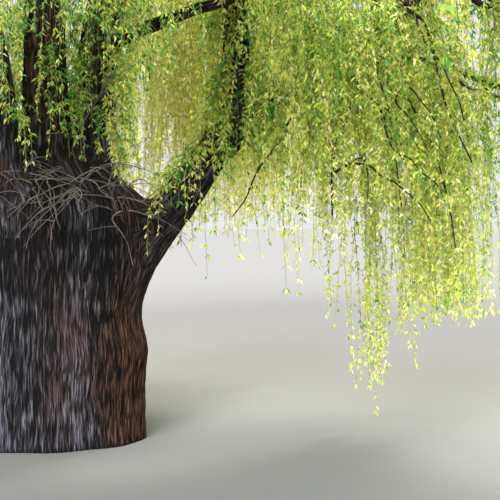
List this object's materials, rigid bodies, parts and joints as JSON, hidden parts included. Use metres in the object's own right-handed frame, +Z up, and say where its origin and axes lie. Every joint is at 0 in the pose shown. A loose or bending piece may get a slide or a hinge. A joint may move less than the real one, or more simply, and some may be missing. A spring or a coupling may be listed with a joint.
{
  "type": "willow tree",
  "caption": "Old weeping willow with a short thick furrowed trunk, fanned boughs and hanging curtains of narrow spring leaves.",
  "frame": {"origin": "middle of the flat cut under the trunk, at ground level", "axes": "+Z up along the trunk; -Y towards the open side of the crown, where the leaves end highest; +X to the right as seen from there"},
  "size_m": [11.9978, 11.7161, 11.191],
  "materials": {
    "bark": "matte",
    "foliage": "matte"
  },
  "bodies": {
    "root": {"bough_back_1": "bark", "bough_back_2": "bark", "bough_back_right": "bark", "bough_front": "bark", "bough_front_left": "bark", "bough_front_right": "bark", "bough_left": "bark", "bough_left_back": "bark", "bough_mid_front": "bark", "bough_mid_left": "bark", "bough_mid_right": "bark", "bough_right_low": "bark", "bough_right_outer": "bark", "bough_right_rise": "bark", "bough_top_back": "bark", "bough_top_front": "bark", "bough_top_left": "bark", "bough_top_right": "bark", "branch_inner_back": "bark", "branch_inner_front": "bark", "branch_inner_left": "bark", "branch_inner_right": "bark", "branch_middle_right": "bark", "branch_outer_right": "bark", "foliage_crest": "foliage", "foliage_inner_back": "foliage", "foliage_inner_front": "foliage", "foliage_inner_left": "foliage", "foliage_inner_right": "foliage", "foliage_mid_back": "foliage", "foliage_mid_back_left": "foliage", "foliage_mid_back_right": "foliage", "foliage_mid_front": "foliage", "foliage_mid_front_left": "foliage", "foliage_mid_front_right": "foliage", "foliage_mid_left": "foliage", "foliage_mid_right": "foliage", "foliage_middle_right": "foliage", "foliage_outer_right": "foliage", "foliage_skirt_back_1": "foliage", "foliage_skirt_back_2": "foliage", "foliage_skirt_back_right": "foliage", "foliage_skirt_front": "foliage", "foliage_skirt_front_left": "foliage", "foliage_skirt_front_right": "foliage", "foliage_skirt_left": "foliage", "foliage_skirt_left_back": "foliage", "foliage_skirt_right": "foliage", "foliage_top_back": "foliage", "foliage_top_front": "foliage", "foliage_top_left": "foliage", "foliage_top_right": "foliage", "stem_back": "bark", "stem_centre": "bark", "stem_front": "bark", "stem_left": "bark", "stem_right": "bark", "trunk": "bark", "trunk_shoots": "bark"}
  },
  "joints": []
}
